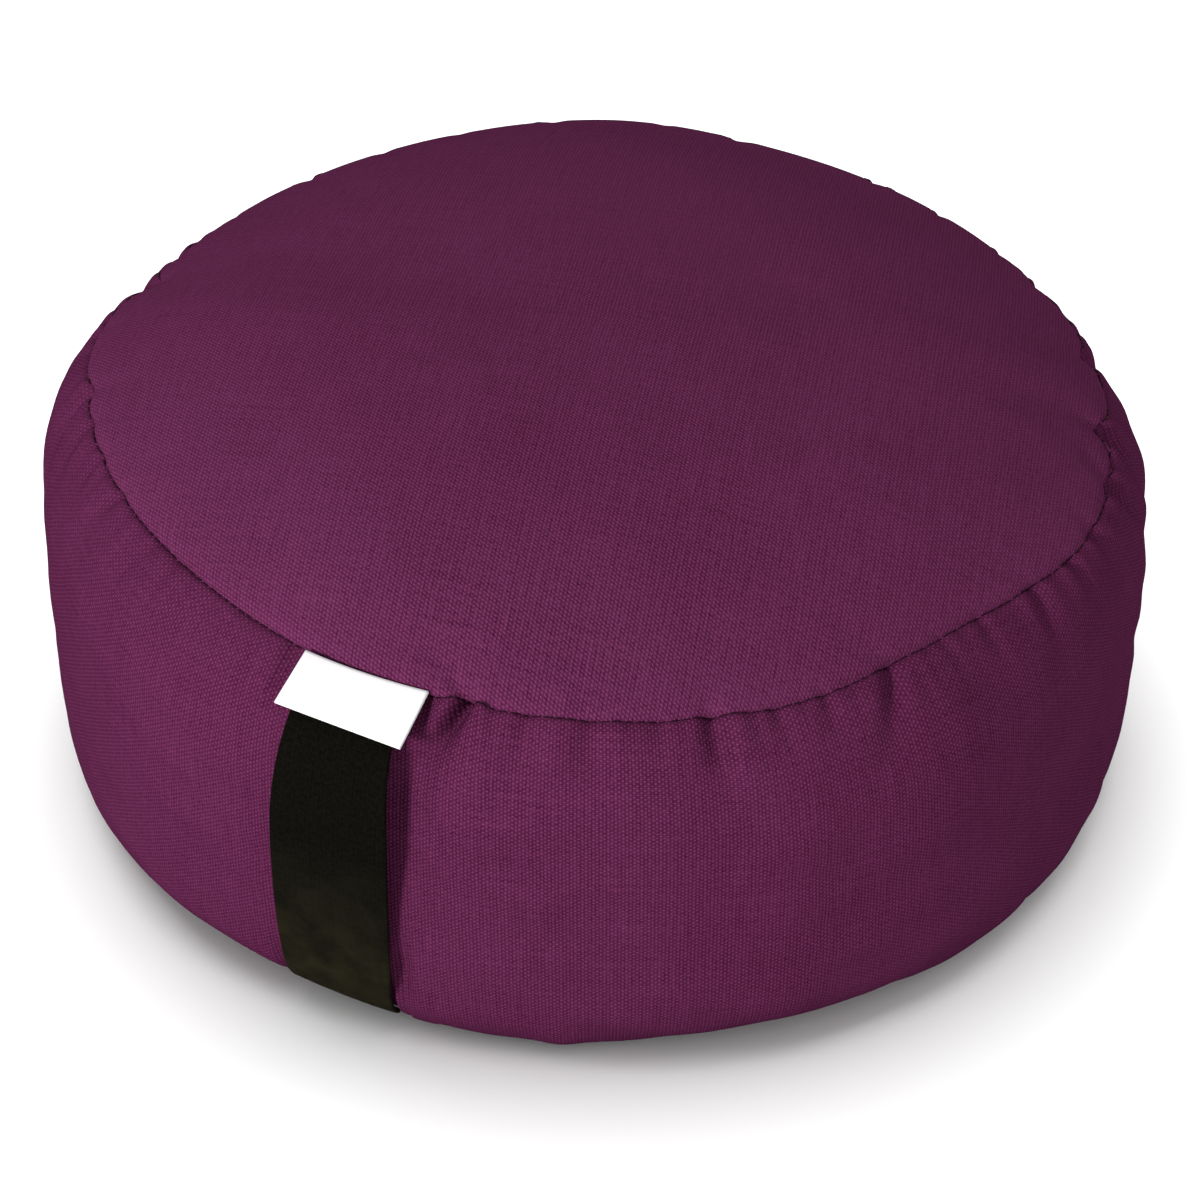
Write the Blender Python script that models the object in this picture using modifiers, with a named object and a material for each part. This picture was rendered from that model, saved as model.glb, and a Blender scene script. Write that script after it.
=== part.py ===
"""Round floor cushion: a filled cloth drum with a webbing handle and a small sewn-in label.

Units are metres, +Z is up. The origin is the centre of the flat base, on the floor, and the
handle stands at the front, on -Y. Angles are degrees, anticlockwise from +X seen from above.
Tables are in millimetres and degrees, and MM turns a table's length into metres.
"""

import math
from collections import namedtuple

import bmesh
import bpy
import numpy as np

MM = 0.001

# ---------------------------------------------------------------- driving dimensions
CROWN_RISE = 0.0244          # centre of the top panel above the mean height of its seam
CROWN_POWER = 3.6            # how late the top panel turns down: flat on top, round at the rim
LOPSIDED_POWER = 1.5         # how the seam's ups and downs fade towards the top's centre
BULGE_HEIGHT = 0.0520        # height at which the side band is widest
FOOT_POWER = 5.0             # how late the band turns in to the lower seam
FOOT_SEAM_HEIGHT = 0.0022    # lower seam above the floor
LOWEST_BAND_HEIGHT = 0.0004  # no pucker reaches below this
FLAT_BASE_SHARE = 0.90       # radius of the part of the base that lies on the floor, to the seam's

SEAM_DITCH_DEPTH = 0.0013    # the two panels turn in to each other along a seam
SEAM_DITCH_HALF_WIDTH = 0.0022

HANDLE_ANGLE = 270.0
HANDLE_FOOT_ANGLE = 268.4    # the webbing strays a little to the left on its way down
WEBBING_THICKNESS = 0.0016
WEBBING_TOP = 84.0           # turns of the band's profile between which the webbing runs
WEBBING_FOOT = -81.0
TOP_RECESS_DEPTH = 0.0036    # the band gives way where handle and label go into the upper seam
TOP_RECESS_REACH = 0.0120
FOOT_RECESS_DEPTH = 0.0024   # and where the handle is drawn tight over the foot
FOOT_RECESS_REACH = 0.0320
TOP_RECESS_HALF_ANGLE = 7.6  # wide enough for the label
TOP_RECESS_FADE = 1.8        # degrees over which each recess ends
FOOT_RECESS_HALF_ANGLE = 6.4
FOOT_RECESS_FADE = 1.5

LABEL_ANGLE = 271.0
LABEL_WIDTH = 0.0382
LABEL_DROP = 0.0182          # how far it stands out of the seam
LABEL_THICKNESS = 0.0010
LABEL_TILT_LEFT = 15.0       # below the horizontal: the tab is a little twisted
LABEL_TILT_RIGHT = 22.0
LABEL_LEAN = 3.5             # its right end sits lower, as the seam falls that way

SEAT_GAP = 0.0005            # between two surfaces that touch, before facets take their share

# ---------------------------------------------------------------- resolution
COLUMN_TURN = 2.5            # degrees from column to column of the cushion
FINE_COLUMN_TURN = 1.25      # beside the handle
FINE_FROM = 255.0
FINE_TO = 285.0
BAND_TURN_ABOVE = 7.5        # turn of the profile from row to row, above the bulge
BAND_TURN_BELOW = 10.0
WEBBING_CUTS = 33
WEBBING_COLUMNS = 7
CROWN_ROWS = (130, 100, 74, 52, 35, 22, 13, 7.0, 3.2, 1.0)   # distance to the seam, mm

# ---------------------------------------------------------------- the cushion's sections
# One row for each vertical section through the cushion, evenly spaced around it. shoulder is how
# late the band turns in to the upper seam: at the back it lies lower than the top panel's rim.
Section = namedtuple("Section", "angle seam_radius seam_height bulge_radius foot_radius shoulder")
SECTIONS = (
    Section(0.0, 162.5, 117.5, 175, 167.5, 5.0),
    Section(22.5, 161, 122, 175.4, 164, 3.8),
    Section(45.0, 160.5, 123.5, 173, 162, 2.3),
    Section(67.5, 159, 127.5, 177.5, 164, 2.6),
    Section(90.0, 159, 131, 177.5, 164, 2.6),
    Section(112.5, 160, 135.5, 178, 164, 2.6),
    Section(135.0, 158.5, 135, 178, 164, 2.6),
    Section(157.5, 159, 132.5, 179, 164, 2.6),
    Section(180.0, 158, 132, 178, 163.5, 2.9),
    Section(202.5, 161.5, 135, 178.7, 166, 4.8),
    Section(225.0, 158, 131.5, 177.8, 169.5, 5.0),
    Section(247.5, 156, 128, 180.5, 158, 5.0),
    Section(270.0, 160, 125.5, 176.5, 165, 5.0),
    Section(292.5, 160.5, 120.5, 176.5, 166, 5.0),
    Section(315.0, 158, 117, 181, 161.5, 5.0),
    Section(337.5, 154.5, 118, 179, 166.5, 5.0),
)

# One row for each cut across the handle, evenly spaced from the upper seam to the lower: its
# width there, how far it strays sideways, and how far it bows out from the band.
Webbing = namedtuple("Webbing", "width sideways stand_off")
WEBBING = (
    Webbing(30.0, 1.0, 0.0),
    Webbing(32.0, 2.5, 5.3),
    Webbing(36.2, 1.7, 6.6),
    Webbing(36.8, -1.1, 3.2),
    Webbing(35.8, -2.3, 1.6),
    Webbing(34.4, -4.2, 0.4),
    Webbing(33.2, -5.4, 0.0),
)

MEAN_SEAM_HEIGHT = sum(row.seam_height for row in SECTIONS) / len(SECTIONS) * MM

# ---------------------------------------------------------------- gathers
# One row for each pucker that runs from a seam into the band. half_width is in degrees,
# depth in mm at its deepest, reach in mm along the band, lean in degrees sideways over that
# reach, and pull is how far in the seam itself is drawn, in mm.
Gather = namedtuple("Gather", "angle half_width depth reach lean pull")
TOP_GATHERS = (
    Gather(0.7, 1.8, 2.2, 28, 1.4, 0.5),
    Gather(9.0, 2.0, 3.4, 38, 4.5, 1.2),
    Gather(17.4, 2.6, 5.4, 29, 0.8, 5.2),
    Gather(32.5, 2.6, 4.2, 38, 0.0, 3.6),
    Gather(48.6, 2.2, 2.4, 38, 1.0, 1.8),
    Gather(56.5, 1.9, 1.8, 28, 0.0, 1.0),
    Gather(67.0, 2.2, 2.4, 36, -1.0, 1.2),
    Gather(77.2, 2.2, 2.2, 34, 1.0, 1.0),
    Gather(96.2, 2.6, 2.8, 42, 2.0, 2.2),
    Gather(107.0, 2.0, 1.6, 30, -1.0, 0.6),
    Gather(120.5, 2.2, 2.0, 36, 1.5, 0.8),
    Gather(133.5, 1.8, 1.4, 26, 0.0, 0.4),
    Gather(144.5, 2.0, 1.8, 34, -1.5, 0.8),
    Gather(154.8, 2.4, 2.6, 40, 1.0, 1.6),
    Gather(167.5, 1.8, 1.6, 28, -1.0, 0.5),
    Gather(178.0, 2.2, 2.4, 36, 1.0, 1.2),
    Gather(186.8, 2.6, 3.4, 30, 0.0, 6.5),
    Gather(198.0, 2.0, 1.6, 28, 1.0, 0.2),
    Gather(210.5, 2.4, 2.8, 38, 2.0, 2.4),
    Gather(216.2, 1.8, 1.9, 26, 1.4, 0.8),
    Gather(222.5, 1.6, 1.6, 24, 0.7, 0.6),
    Gather(229.8, 1.6, 1.6, 22, -0.7, 0.5),
    Gather(239.5, 1.6, 0.8, 20, -1.0, 0.1),
    Gather(250.1, 1.6, 0.8, 20, 1.0, 0.1),
    Gather(281.6, 1.9, 3.6, 27, -3.2, 1.9),
    Gather(288.0, 1.9, 1.3, 25, -1.8, 0.2),
    Gather(294.0, 2.0, 1.5, 25, -0.3, 0.1),
    Gather(306.2, 2.0, 2.8, 28, 0.4, 0.8),
    Gather(318.6, 1.6, 1.0, 22, -0.8, 0.1),
    Gather(327.3, 2.0, 2.5, 32, -5.2, 0.8),
    Gather(340.2, 1.6, 1.0, 22, -0.5, 0.1),
    Gather(348.5, 1.8, 1.6, 26, -1.8, 0.4),
)
FOOT_GATHERS = (
    Gather(3.5, 2.0, 1.6, 30, 1.0, 0.6),
    Gather(21.5, 2.2, 2.0, 34, -1.0, 0.8),
    Gather(40.5, 2.0, 1.8, 30, 1.0, 0.6),
    Gather(62.5, 2.2, 2.0, 34, 1.0, 0.8),
    Gather(83.5, 2.0, 1.8, 30, -1.0, 0.6),
    Gather(102.5, 2.2, 2.0, 34, 1.0, 0.8),
    Gather(126.5, 2.0, 1.6, 28, 0.0, 0.6),
    Gather(148.5, 2.2, 2.0, 34, -1.0, 0.8),
    Gather(170.5, 2.0, 1.8, 30, 1.0, 0.6),
    Gather(194.5, 2.0, 1.8, 30, 1.0, 0.6),
    Gather(215.5, 1.8, 1.0, 22, -1.0, 0.2),
    Gather(325.5, 2.0, 1.0, 28, -1.0, 0.2),
    Gather(344.5, 1.8, 1.0, 26, 1.0, 0.3),
)
GATHER_SHOULDER = 1.4        # how full the cloth stands on both sides of a gather
GATHER_PEAK = 0.30           # where along its reach a gather is deepest
GATHER_PINCH = 0.45          # a gather's width at the seam, to its full width
CROWN_SHARE = 0.35           # depth of a gather on the top panel, to that on the band
CROWN_REACH = 0.40           # its reach there, to that on the band
PULL_FADE = 0.014            # how far into the top panel a drawn-in seam is felt

# One row for each softer place in the band: half_width in degrees, depth in mm that it is pressed
# in by (or swells out where it is less than 0), its distance from the seam and how far it spreads
# up and down, in mm, and its lean in degrees over that spread.
Dent = namedtuple("Dent", "angle half_width depth distance spread lean")
TOP_DENTS = (
    Dent(16.5, 7.0, -3.2, 26, 14, 0.0),
    Dent(30.0, 6.0, -1.0, 16, 14, 0.0),
    Dent(298.5, 2.4, -0.8, 14, 12, 0.6),
    Dent(309.3, 1.9, -0.9, 11, 11, 0.0),
    Dent(322.5, 2.4, -0.7, 14, 12, 0.0),
    Dent(332.0, 2.4, -0.7, 16, 14, -1.0),
)
FOOT_DENTS = (
    Dent(275.7, 1.2, 3.0, 27, 13, 0.3),
    Dent(291.0, 2.4, -1.3, 5, 7, 0.0),
)


def curve_through(before, here, after, beyond, part):
    """A smooth curve at a part of the way from here to after, with its neighbours' values."""
    slope = after - before
    bend = 2 * before - 5 * here + 4 * after - beyond
    twist = 3 * (here - after) + beyond - before
    return here + 0.5 * part * (slope + part * (bend + part * twist))


def around(column, angle):
    """A column of SECTIONS at any angle, in metres: a smooth closed curve through its rows."""
    values = np.array([getattr(row, column) for row in SECTIONS]) * MM
    place = np.mod(angle, 360.0) / 360.0 * len(values)
    row = np.floor(place).astype(int)
    before, here, after, beyond = (values[(row + step) % len(values)] for step in (-1, 0, 1, 2))
    return curve_through(before, here, after, beyond, place - row)


def down_handle(column, share):
    """A column of WEBBING at a share of the way down the handle, in metres."""
    values = [getattr(row, column) * MM for row in WEBBING]
    last = len(values) - 1
    row = min(int(share * last), last - 1)
    before, here, after, beyond = (values[min(max(row + step, 0), last)] for step in (-1, 0, 1, 2))
    return curve_through(before, here, after, beyond, share * last - row)


def turn_between(angle, other):
    """The signed turn from other to angle, between -180 and 180 degrees."""
    return np.mod(angle - other + 180.0, 360.0) - 180.0


def seam_pull(angle, gathers):
    """How far the gathers draw a seam in towards the axis."""
    drawn = np.zeros_like(angle)
    for gather in gathers:
        away = turn_between(angle, gather.angle) / (1.3 * gather.half_width)
        drawn += gather.pull * MM * np.exp(-away ** 2)
    return drawn


def gather_depth(angle, distance, gathers, reach_share=1.0):
    """How deep the gathers press the cloth in, at that distance from the seam."""
    pressed = np.zeros(np.broadcast(angle, distance).shape)
    for gather in gathers:
        reach = gather.reach * MM * reach_share
        along = distance / (reach * GATHER_PEAK)
        centre = gather.angle + gather.lean * distance / reach
        width = gather.half_width * (GATHER_PINCH + (1 - GATHER_PINCH) * np.minimum(distance / reach, 1))
        away = turn_between(angle, centre) / width
        across = (1 - GATHER_SHOULDER * away ** 2) * np.exp(-away ** 2)
        pressed += gather.depth * MM * along * np.exp(1 - along) * across
    return pressed


def dent_depth(angle, distance, dents):
    """How deep the softer places are pressed in, at that distance from the seam."""
    pressed = np.zeros(np.broadcast(angle, distance).shape)
    for dent in dents:
        along = (distance / MM - dent.distance) / dent.spread
        turn = turn_between(angle, dent.angle + dent.lean * along)
        pressed += dent.depth * MM * np.exp(-(turn / dent.half_width) ** 2 - along ** 2)
    return pressed


def within(angle, middle, half_angle, fade):
    """1 within half_angle of the middle, and 0 beyond its fade."""
    share = np.clip(1 - (np.abs(turn_between(angle, middle)) - half_angle) / fade, 0, 1)
    return share * share * (3 - 2 * share)


def behind_label(angle):
    """1 behind the handle's top end and the label, 0 beside them."""
    return within(angle, HANDLE_ANGLE, TOP_RECESS_HALF_ANGLE, TOP_RECESS_FADE)


def handle_recess(angle, below, above):
    """How far the band gives way behind the handle, by the distance from each seam."""
    top = TOP_RECESS_DEPTH * np.exp(-(below / TOP_RECESS_REACH) ** 2)
    foot = FOOT_RECESS_DEPTH * np.exp(-(above / FOOT_RECESS_REACH) ** 2)
    foot = foot * within(angle, HANDLE_FOOT_ANGLE, FOOT_RECESS_HALF_ANGLE, FOOT_RECESS_FADE)
    return top * behind_label(angle) + foot


def from_seams(angle, radius, height):
    """Distance of a place on the band from the seam above it and from the one below it."""
    seam_radius, seam_height = upper_seam(angle)
    below = np.hypot(radius - seam_radius, height - seam_height)
    above = np.hypot(radius - foot_radius(angle), height - FOOT_SEAM_HEIGHT)
    return below, above


def crown_height(angle, radius):
    """Height of the top panel at that radius, and its slope there."""
    rim_radius = around("seam_radius", angle)
    share = radius / rim_radius
    over = around("seam_height", angle) - MEAN_SEAM_HEIGHT
    height = MEAN_SEAM_HEIGHT + over * share ** LOPSIDED_POWER + CROWN_RISE * (1 - share ** CROWN_POWER)
    slope = LOPSIDED_POWER * over * share ** (LOPSIDED_POWER - 1)
    slope = slope - CROWN_RISE * CROWN_POWER * share ** (CROWN_POWER - 1)
    return height, slope / rim_radius


def upper_seam(angle):
    """Radius and height of the seam between the top panel and the band."""
    radius = around("seam_radius", angle) - seam_pull(angle, TOP_GATHERS)
    height, _ = crown_height(angle, radius)
    return radius, height


def foot_radius(angle):
    """Radius of the lower seam."""
    return around("foot_radius", angle) - seam_pull(angle, FOOT_GATHERS)


def band_profile(angle, turn):
    """The side band at a turn of its profile, 90 at the upper seam and -90 at the lower."""
    upper = turn >= 0
    seam_radius, seam_height = upper_seam(angle)
    end_radius = seam_radius if upper else foot_radius(angle)
    end_height = seam_height if upper else np.full_like(angle, FOOT_SEAM_HEIGHT)
    bulge_radius = around("bulge_radius", angle)
    power = around("shoulder", angle) / MM if upper else FOOT_POWER
    share = math.sin(math.radians(abs(turn)))
    height = BULGE_HEIGHT + (end_height - BULGE_HEIGHT) * share
    radius = bulge_radius - (bulge_radius - end_radius) * share ** power
    slope = (bulge_radius - end_radius) * power * share ** (power - 1)
    slope = slope / (end_height - BULGE_HEIGHT)
    length = np.hypot(1, slope)
    return radius, height, 1 / length, slope / length


def points_at(angle, radius, height):
    """Cylindrical places as an array of points."""
    turn = np.radians(angle)
    return np.stack([radius * np.cos(turn), radius * np.sin(turn), height], axis=-1)


def band_skin(angle, turn):
    """The band's cloth with its seam ditches, recess and gathers: radius and height."""
    radius, height, out, up = band_profile(angle, turn)
    below, above = from_seams(angle, radius, height)
    ditch = np.exp(-(below / SEAM_DITCH_HALF_WIDTH) ** 2) + np.exp(-(above / SEAM_DITCH_HALF_WIDTH) ** 2)
    inward = SEAM_DITCH_DEPTH * ditch * (1 - behind_label(angle))
    inward = inward + handle_recess(angle, below, above)
    inward = inward + gather_depth(angle, below, TOP_GATHERS) + gather_depth(angle, above, FOOT_GATHERS)
    inward = inward + dent_depth(angle, below, TOP_DENTS) + dent_depth(angle, above, FOOT_DENTS)
    return radius - inward * out, np.maximum(height - inward * up, LOWEST_BAND_HEIGHT)


def crown_skin(angle, distance):
    """A ring of the top panel at that distance from the seam."""
    drawn = seam_pull(angle, TOP_GATHERS) * math.exp(-distance / PULL_FADE)
    radius = around("seam_radius", angle) - distance - drawn
    height, slope = crown_height(angle, radius)
    inward = SEAM_DITCH_DEPTH * math.exp(-(distance / SEAM_DITCH_HALF_WIDTH) ** 2)
    inward = inward + CROWN_SHARE * gather_depth(angle, distance, TOP_GATHERS, CROWN_REACH)
    length = np.hypot(1, slope)
    return points_at(angle, radius + inward * slope / length, height - inward / length)


def base_skin(angle, share):
    """A ring of the bottom panel, from the lower seam (0) to its flat part (1)."""
    radius = foot_radius(angle) * (1 - (1 - FLAT_BASE_SHARE) * share)
    return points_at(angle, radius, np.full_like(angle, FOOT_SEAM_HEIGHT * (1 - share) ** 2))


def new_object(name, mesh, collection, material):
    """An object of that mesh, in its collection, with its material and smooth shading."""
    obj = bpy.data.objects.new(name, mesh)
    obj.data.materials.append(material)
    obj.data.shade_smooth()
    collection.objects.link(obj)
    return obj


def new_material(name, colour, roughness):
    """A plain cloth material."""
    material = bpy.data.materials.new(name)
    material.use_nodes = True
    shader = material.node_tree.nodes["Principled BSDF"]
    shader.inputs["Base Color"].default_value = (*colour, 1.0)
    shader.inputs["Roughness"].default_value = roughness
    shader.inputs["Metallic"].default_value = 0.0
    return material


def loft_rings(name, rings, top_centre):
    """A closed mesh through rings of equally many points, from the top ring to the base ring.

    The top is closed by a fan to its centre, and the base by one flat face.
    """
    shape = bmesh.new()
    rows = [[shape.verts.new(point) for point in ring] for ring in rings]
    count = len(rows[0])
    centre = shape.verts.new(top_centre)
    for here in range(count):
        after = (here + 1) % count
        shape.faces.new((centre, rows[0][here], rows[0][after]))
        for upper, lower in zip(rows, rows[1:]):
            shape.faces.new((upper[here], lower[here], lower[after], upper[after]))
    shape.faces.new(list(reversed(rows[-1])))
    bmesh.ops.recalc_face_normals(shape, faces=shape.faces)
    mesh = bpy.data.meshes.new(name)
    shape.to_mesh(mesh)
    shape.free()
    return mesh


def open_grid(name, rows):
    """An open sheet through rows of equally many points."""
    shape = bmesh.new()
    grid = [[shape.verts.new(point) for point in row] for row in rows]
    for upper, lower in zip(grid, grid[1:]):
        for here in range(len(upper) - 1):
            shape.faces.new((upper[here], lower[here], lower[here + 1], upper[here + 1]))
    mesh = bpy.data.meshes.new(name)
    shape.to_mesh(mesh)
    shape.free()
    return mesh


def thicken(obj, thickness):
    """Gives a sheet its thickness, half to each side."""
    shell = obj.modifiers.new("thickness", "SOLIDIFY")
    shell.thickness = thickness
    shell.offset = 0.0
    shell.use_even_offset = True


def make_cushion(collection, material):
    """The filled cushion: top panel, side band and bottom panel, sewn shut around the filling."""
    angle = np.union1d(np.arange(0, 360, COLUMN_TURN), np.arange(FINE_FROM, FINE_TO, FINE_COLUMN_TURN))
    rings = [crown_skin(angle, distance * MM) for distance in CROWN_ROWS]
    turn = 90.0
    while turn >= -90.0:
        rings.append(points_at(angle, *band_skin(angle, turn)))
        turn -= BAND_TURN_ABOVE if turn > 0 else BAND_TURN_BELOW
    rings += [base_skin(angle, share) for share in (0.5, 1.0)]
    crown_top = (0, 0, MEAN_SEAM_HEIGHT + CROWN_RISE)
    return new_object("cushion", loft_rings("cushion", rings, crown_top), collection, material)


def make_handle(collection, material):
    """The handle: flat webbing from the upper seam to the lower, bowed out for the fingers."""
    middle = np.array([HANDLE_ANGLE])
    rows = []
    for share in np.linspace(0, 1, WEBBING_CUTS):
        turn = WEBBING_TOP + (WEBBING_FOOT - WEBBING_TOP) * share
        radius, height, _, _ = band_profile(middle, turn)
        recess = handle_recess(middle, *from_seams(middle, radius, height))
        stand = SEAT_GAP + WEBBING_THICKNESS / 2 + down_handle("stand_off", share) - recess
        half_width = down_handle("width", share) / 2
        across = np.linspace(-half_width, half_width, WEBBING_COLUMNS) + down_handle("sideways", share)
        angle = HANDLE_ANGLE + np.degrees(np.arcsin(across / (radius + stand)))
        radius, height, out, up = band_profile(angle, turn)
        rows.append(points_at(angle, radius + stand * out, height + stand * up))
    obj = new_object("handle", open_grid("handle", rows), collection, material)
    thicken(obj, WEBBING_THICKNESS)
    return obj


def make_label(collection, material):
    """The label: a small flat tab held by the upper seam, over the handle's top end."""
    seam_radius, seam_height = (float(value[0]) for value in upper_seam(np.array([LABEL_ANGLE])))
    facing = math.radians(LABEL_ANGLE)
    outward = np.array([math.cos(facing), math.sin(facing), 0])
    along = np.array([-math.sin(facing), math.cos(facing), -math.tan(math.radians(LABEL_LEAN))])
    start = outward * seam_radius + np.array([0, 0, seam_height])
    rows = []
    for share in np.linspace(0, 1, 4):
        row = []
        for side in np.linspace(-0.5, 0.5, 7):
            fall = math.radians(LABEL_TILT_LEFT + (LABEL_TILT_RIGHT - LABEL_TILT_LEFT) * (side + 0.5))
            drop = outward * math.cos(fall) - np.array([0, 0, math.sin(fall)])
            bowed = outward * (side * LABEL_WIDTH) ** 2 / (2 * seam_radius) * (1 - share)
            row.append(start + along * side * LABEL_WIDTH + drop * share * LABEL_DROP - bowed)
        rows.append(row)
    obj = new_object("label", open_grid("label", rows), collection, material)
    thicken(obj, LABEL_THICKNESS)
    return obj


def clear_scene():
    """Removes the objects that a new file holds."""
    for obj in list(bpy.data.objects):
        bpy.data.objects.remove(obj)


clear_scene()
parts = bpy.data.collections.new("meditation_cushion")
bpy.context.scene.collection.children.link(parts)
make_cushion(parts, new_material("plum_canvas", (0.105, 0.018, 0.062), 0.85))
make_handle(parts, new_material("black_webbing", (0.010, 0.009, 0.007), 0.70))
make_label(parts, new_material("white_label", (0.85, 0.85, 0.84), 0.60))
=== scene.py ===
"""The finish of a round meditation cushion: plum canvas cover, black webbing handle, white label.

Metres, +Z up, the handle at the front on -Y. Angles are degrees round the cushion, anticlockwise
from +X seen from above. The script runs from top to bottom, one section for each piece.
"""

import math
from collections import namedtuple

import bmesh
import bpy
import numpy as np
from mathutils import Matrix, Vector


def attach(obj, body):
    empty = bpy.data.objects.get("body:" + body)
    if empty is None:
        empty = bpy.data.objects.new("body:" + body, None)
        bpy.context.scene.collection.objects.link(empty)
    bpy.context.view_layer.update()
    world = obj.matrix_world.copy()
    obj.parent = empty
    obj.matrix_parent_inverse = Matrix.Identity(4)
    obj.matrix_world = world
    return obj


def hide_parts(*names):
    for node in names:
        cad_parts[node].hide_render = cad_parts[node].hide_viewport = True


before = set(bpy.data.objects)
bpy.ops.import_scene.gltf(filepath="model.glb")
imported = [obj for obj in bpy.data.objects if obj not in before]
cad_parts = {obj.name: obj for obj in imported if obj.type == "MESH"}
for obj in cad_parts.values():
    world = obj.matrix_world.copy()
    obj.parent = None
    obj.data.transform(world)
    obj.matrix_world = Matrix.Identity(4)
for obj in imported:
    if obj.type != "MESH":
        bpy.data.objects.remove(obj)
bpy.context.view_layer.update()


# ============================================================ where it stands
# The cushion stands on a pale studio floor, lit from the front and softly from all round, and is
# seen from a little over a metre away, from above and from the right of its handle.
EYE = Vector((0.3464, -0.7427, 0.6526))
LOOKING_TOWARDS = 115.0      # degrees round, level
LOOKING_DOWN = 36.7
LENS_MM = 92.45
SENSOR_MM = 36.0

NEAREST_SEEN = 0.05


def put_in_scene(name, data):
    """A new object in the scene, at the origin."""
    made = bpy.data.objects.new(name, data)
    bpy.context.scene.collection.objects.link(made)
    return made


camera = put_in_scene("view", bpy.data.cameras.new("view"))
camera.data.lens = LENS_MM
camera.data.sensor_width = SENSOR_MM
camera.data.clip_start = NEAREST_SEEN
camera.location = EYE
camera.rotation_euler = (math.radians(90 - LOOKING_DOWN), 0, math.radians(LOOKING_TOWARDS - 90))
bpy.context.scene.camera = camera

FLOOR_HALF = 6.0
FLOOR_COLOUR = (0.86, 0.86, 0.86)
FLOOR_ROUGHNESS = 0.9

floor_mesh = bpy.data.meshes.new("floor")
corners = [(x * FLOOR_HALF, y * FLOOR_HALF, 0) for x, y in ((-1, -1), (1, -1), (1, 1), (-1, 1))]
floor_mesh.from_pydata(corners, [], [(0, 1, 2, 3)])
floor = put_in_scene("floor", floor_mesh)
floor_paint = bpy.data.materials.new("studio_floor")
floor_paint.use_nodes = True
floor_shader = floor_paint.node_tree.nodes["Principled BSDF"]
floor_shader.inputs["Base Color"].default_value = (*FLOOR_COLOUR, 1)
floor_shader.inputs["Roughness"].default_value = FLOOR_ROUGHNESS
floor_mesh.materials.append(floor_paint)

# One row for each lamp: how far round and how high it stands, its distance, size and power. The
# one overhead lights the floor alone and the others the cushion alone, so that the floor stays
# white but for a soft shadow round the foot.
SoftLight = namedtuple("SoftLight", "name round_deg height_deg distance size watts on_floor")
SOFT_LIGHTS = (
    SoftLight("key_front", 265, 22, 0.9, 0.11, 10.3, False),
    SoftLight("fill_left", 208, 46, 0.9, 0.5, 2.3, False),
    SoftLight("fill_right", 335, 14, 0.9, 0.5, 2.15, False),
    SoftLight("fill_back", 60, 60, 0.9, 0.5, 0.6, False),
    SoftLight("fill_rear", 95, 5, 0.9, 0.5, 1.7, False),
    SoftLight("overhead", 145, 80, 1.3, 1.6, 27, True),
)
LIGHT_AIM = Vector((0, 0, 0.07))
SKY = 0.82

for light in SOFT_LIGHTS:
    lamp = bpy.data.lights.new(light.name, "AREA")
    lamp.size = light.size
    lamp.energy = light.watts
    lamp_object = put_in_scene(light.name, lamp)
    turn, rise = math.radians(light.round_deg), math.radians(light.height_deg)
    level = math.cos(rise)
    away = Vector((math.cos(turn) * level, math.sin(turn) * level, math.sin(rise)))
    lamp_object.location = LIGHT_AIM + light.distance * away
    lamp_object.rotation_euler = away.to_track_quat("Z", "Y").to_euler()
    lit = bpy.data.collections.new("lit_by_" + light.name)
    lit.objects.link(floor)
    lit.collection_objects[0].light_linking.link_state = "INCLUDE" if light.on_floor else "EXCLUDE"
    lamp_object.light_linking.receiver_collection = lit

sky = bpy.data.worlds.new("studio")
sky.use_nodes = True
sky.node_tree.nodes["Background"].inputs["Color"].default_value = (1, 1, 1, 1)
sky.node_tree.nodes["Background"].inputs["Strength"].default_value = SKY
bpy.context.scene.world = sky
bpy.context.scene.view_settings.view_transform = "Standard"


# ============================================================ the canvas cover
# A round top panel, a side band and a round bottom panel of plain-weave cotton canvas, sewn
# together inside out, turned, and filled until the cover is firm. The band is a little longer
# than the seams that hold it, so it puckers below the upper seam and above the lower one.
MM = 0.001
CROWN_RISE = 0.0244
CROWN_POWER = 3.6
LOPSIDED_POWER = 1.5
BULGE_HEIGHT = 0.0520
FOOT_POWER = 5.0             # how late the band turns in to the lower seam
FOOT_SEAM_HEIGHT = 0.0022
LOWEST_BAND_HEIGHT = 0.0004
FLAT_BASE_SHARE = 0.90

# One row for each upright cut through the cushion, in degrees and millimetres. shoulder is how late
# the band turns in to the upper seam there: at the back it lies lower than the top panel's rim.
Section = namedtuple("Section", "angle seam_radius seam_height bulge_radius foot_radius shoulder")
SECTIONS = (
    Section(0.0, 162.5, 117.5, 175, 167.5, 5.0),
    Section(22.5, 161, 122, 175.4, 164, 3.8),
    Section(45.0, 160.5, 123.5, 173, 162, 2.3),
    Section(67.5, 159, 127.5, 177.5, 164, 2.6),
    Section(90.0, 159, 131, 177.5, 164, 2.6),
    Section(112.5, 160, 135.5, 178, 164, 2.6),
    Section(135.0, 158.5, 135, 178, 164, 2.6),
    Section(157.5, 159, 132.5, 179, 164, 2.6),
    Section(180.0, 158, 132, 178, 163.5, 2.9),
    Section(202.5, 161.5, 135, 178.7, 166, 4.8),
    Section(225.0, 158, 131.5, 177.8, 169.5, 5.0),
    Section(247.5, 156, 128, 180.5, 158, 5.0),
    Section(270.0, 160, 125.5, 176.5, 165, 5.0),
    Section(292.5, 160.5, 120.5, 176.5, 166, 5.0),
    Section(315.0, 158, 117, 181, 161.5, 5.0),
    Section(337.5, 154.5, 118, 179, 166.5, 5.0),
)
MEAN_SEAM_HEIGHT = sum(row.seam_height for row in SECTIONS) / len(SECTIONS) * MM

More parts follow.
